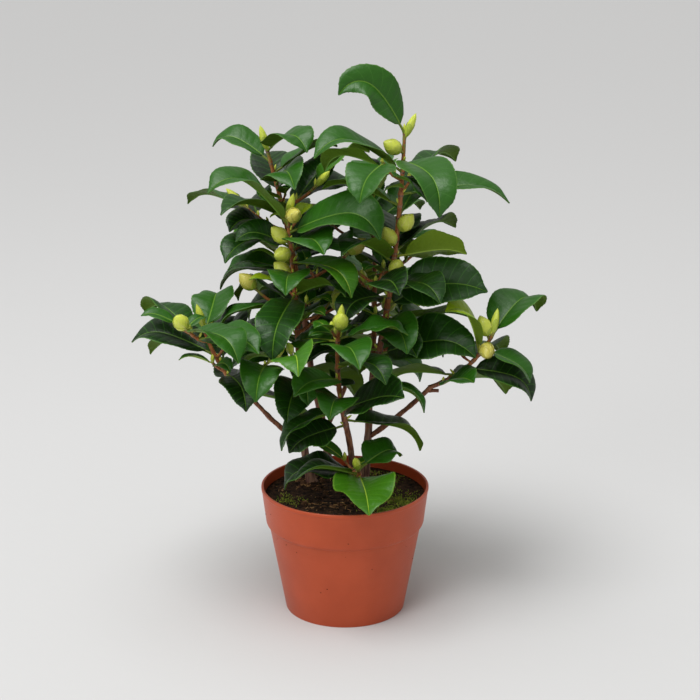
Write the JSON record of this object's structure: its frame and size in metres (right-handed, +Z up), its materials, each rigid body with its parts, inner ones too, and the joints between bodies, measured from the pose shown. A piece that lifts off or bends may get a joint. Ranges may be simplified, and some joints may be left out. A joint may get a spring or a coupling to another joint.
{
  "type": "potted camellia shrub",
  "caption": "Young bushy camellia shrub with upright leaders, low side boughs, glossy oval leaves and fat green flower buds, standing in a round tapering grower's pot filled with peat.",
  "frame": {"origin": "centre of the pot's flat underside, on the surface the pot stands on", "axes": "+Z up along the pot's axis, +X to the right and -Y towards the viewer, with the low right bough reaching out along +X"},
  "size_m": [0.3165, 0.2683, 0.4232],
  "materials": {
    "pot": "thin moulded plastic, satin, terracotta colour",
    "peat": "moist fibrous peat, dull",
    "bark": "smooth young bark, dull",
    "foliage": "glossy leathery leaves"
  },
  "bodies": {
    "root": {"pot": "pot", "peat": "peat", "stem_left": "bark", "stem_right": "bark", "stem_front": "bark", "stem_back": "bark", "bough_right_low": "bark", "bough_left_low": "bark", "bough_back_low": "bark", "foliage_right_tall": "foliage", "foliage_left_tall": "foliage", "foliage_back_tall": "foliage", "foliage_back_right": "foliage", "foliage_right_low": "foliage", "foliage_left_low": "foliage", "foliage_back_low": "foliage", "foliage_front": "foliage", "foliage_foot": "foliage"}
  },
  "joints": []
}
